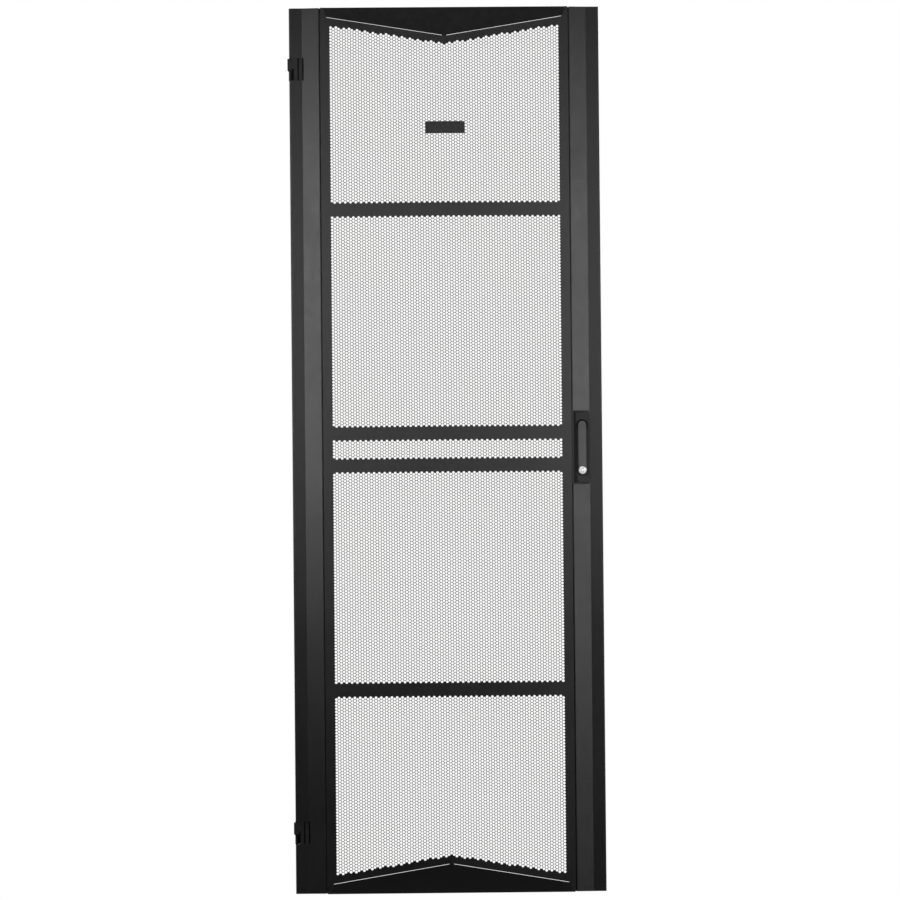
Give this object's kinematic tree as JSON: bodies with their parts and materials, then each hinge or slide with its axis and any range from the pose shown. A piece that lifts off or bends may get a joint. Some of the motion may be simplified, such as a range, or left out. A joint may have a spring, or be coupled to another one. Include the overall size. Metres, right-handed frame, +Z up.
{
  "type": "perforated rack door",
  "caption": "Tall perforated steel door with a centre crease and V-shaped ends, two lift-off hinges, and a locking swing handle that drives two rods.",
  "frame": {"origin": "middle of the lower hinge's bolt line, on the face of the rack's post", "axes": "+Z up, the door's front faces -Y, +X to the right seen from the front"},
  "size_m": [0.686, 0.0701, 1.95],
  "materials": {
    "powder": "fine-textured black powder coat, half gloss",
    "satin": "smooth satin black coat",
    "zinc_plate": "zinc-plated steel",
    "chrome": "bright chrome",
    "nylon": "black glass-filled nylon",
    "rubber": "black rubber"
  },
  "bodies": {
    "rack_side": {"upper_rack_hinge": "satin", "lower_rack_hinge": "satin", "upper_hinge_pin": "zinc_plate", "lower_hinge_pin": "zinc_plate", "hinge_washers": "nylon"},
    "door": {"left_pillar": "powder", "right_pillar": "powder", "perforated_panel": "powder", "top_rail": "powder", "bottom_rail": "powder", "upper_stiffener": "powder", "upper_mid_stiffener": "powder", "lower_mid_stiffener": "powder", "lower_stiffener": "powder", "upper_door_hinge": "satin", "lower_door_hinge": "satin", "handle_dish": "nylon", "handle_clamps": "zinc_plate", "clamp_screws": "zinc_plate", "upper_rod_guides": "nylon", "lower_rod_guides": "nylon", "guide_screws": "zinc_plate", "earth_stud": "zinc_plate", "earth_nut": "zinc_plate", "rubber_buffers": "rubber"},
    "hub": {"handle_hub": "zinc_plate", "latch_crank": "zinc_plate", "crank_ring": "zinc_plate", "latch_tongue": "zinc_plate", "tongue_nut": "zinc_plate"},
    "lever": {"handle_lever": "satin", "lever_pin": "zinc_plate", "lock_barrel": "chrome"},
    "plug": {"lock_plug": "chrome"},
    "upper_rod": {"upper_rod": "zinc_plate", "upper_rod_tip": "nylon"},
    "lower_rod": {"lower_rod": "zinc_plate", "lower_rod_tip": "nylon"}
  },
  "joints": [
    {"name": "door_swing", "type": "hinge", "parent": "rack_side", "child": "door", "pos_m": [-0.024, -0.0243, 0], "axis": [0, 0, -1], "range_deg": [0, 130]},
    {"name": "hub_turn", "type": "hinge", "parent": "door", "child": "hub", "pos_m": [0.6113, -0.025, 0.891], "axis": [0, -1, 0], "range_deg": [0, 90]},
    {"name": "lever_lift", "type": "hinge", "parent": "hub", "child": "lever", "pos_m": [0.6113, -0.036, 0.891], "axis": [-1, 0, 0], "range_deg": [0, 35]},
    {"name": "key_turn", "type": "hinge", "parent": "lever", "child": "plug", "pos_m": [0.6113, -0.042, 0.7915], "axis": [0, -1, 0], "range_deg": [0, 90]},
    {"name": "upper_rod_slide", "type": "slide", "parent": "door", "child": "upper_rod", "axis": [0, 0, -1], "range_m": [0, 0.0199]},
    {"name": "lower_rod_slide", "type": "slide", "parent": "door", "child": "lower_rod", "axis": [0, 0, 1], "range_m": [0, 0.0199]}
  ],
  "couplings": [
    {"joint": "upper_rod_slide", "follows": "hub_turn", "m_per_rad": 0.012604},
    {"joint": "lower_rod_slide", "follows": "hub_turn", "m_per_rad": 0.012604}
  ]
}
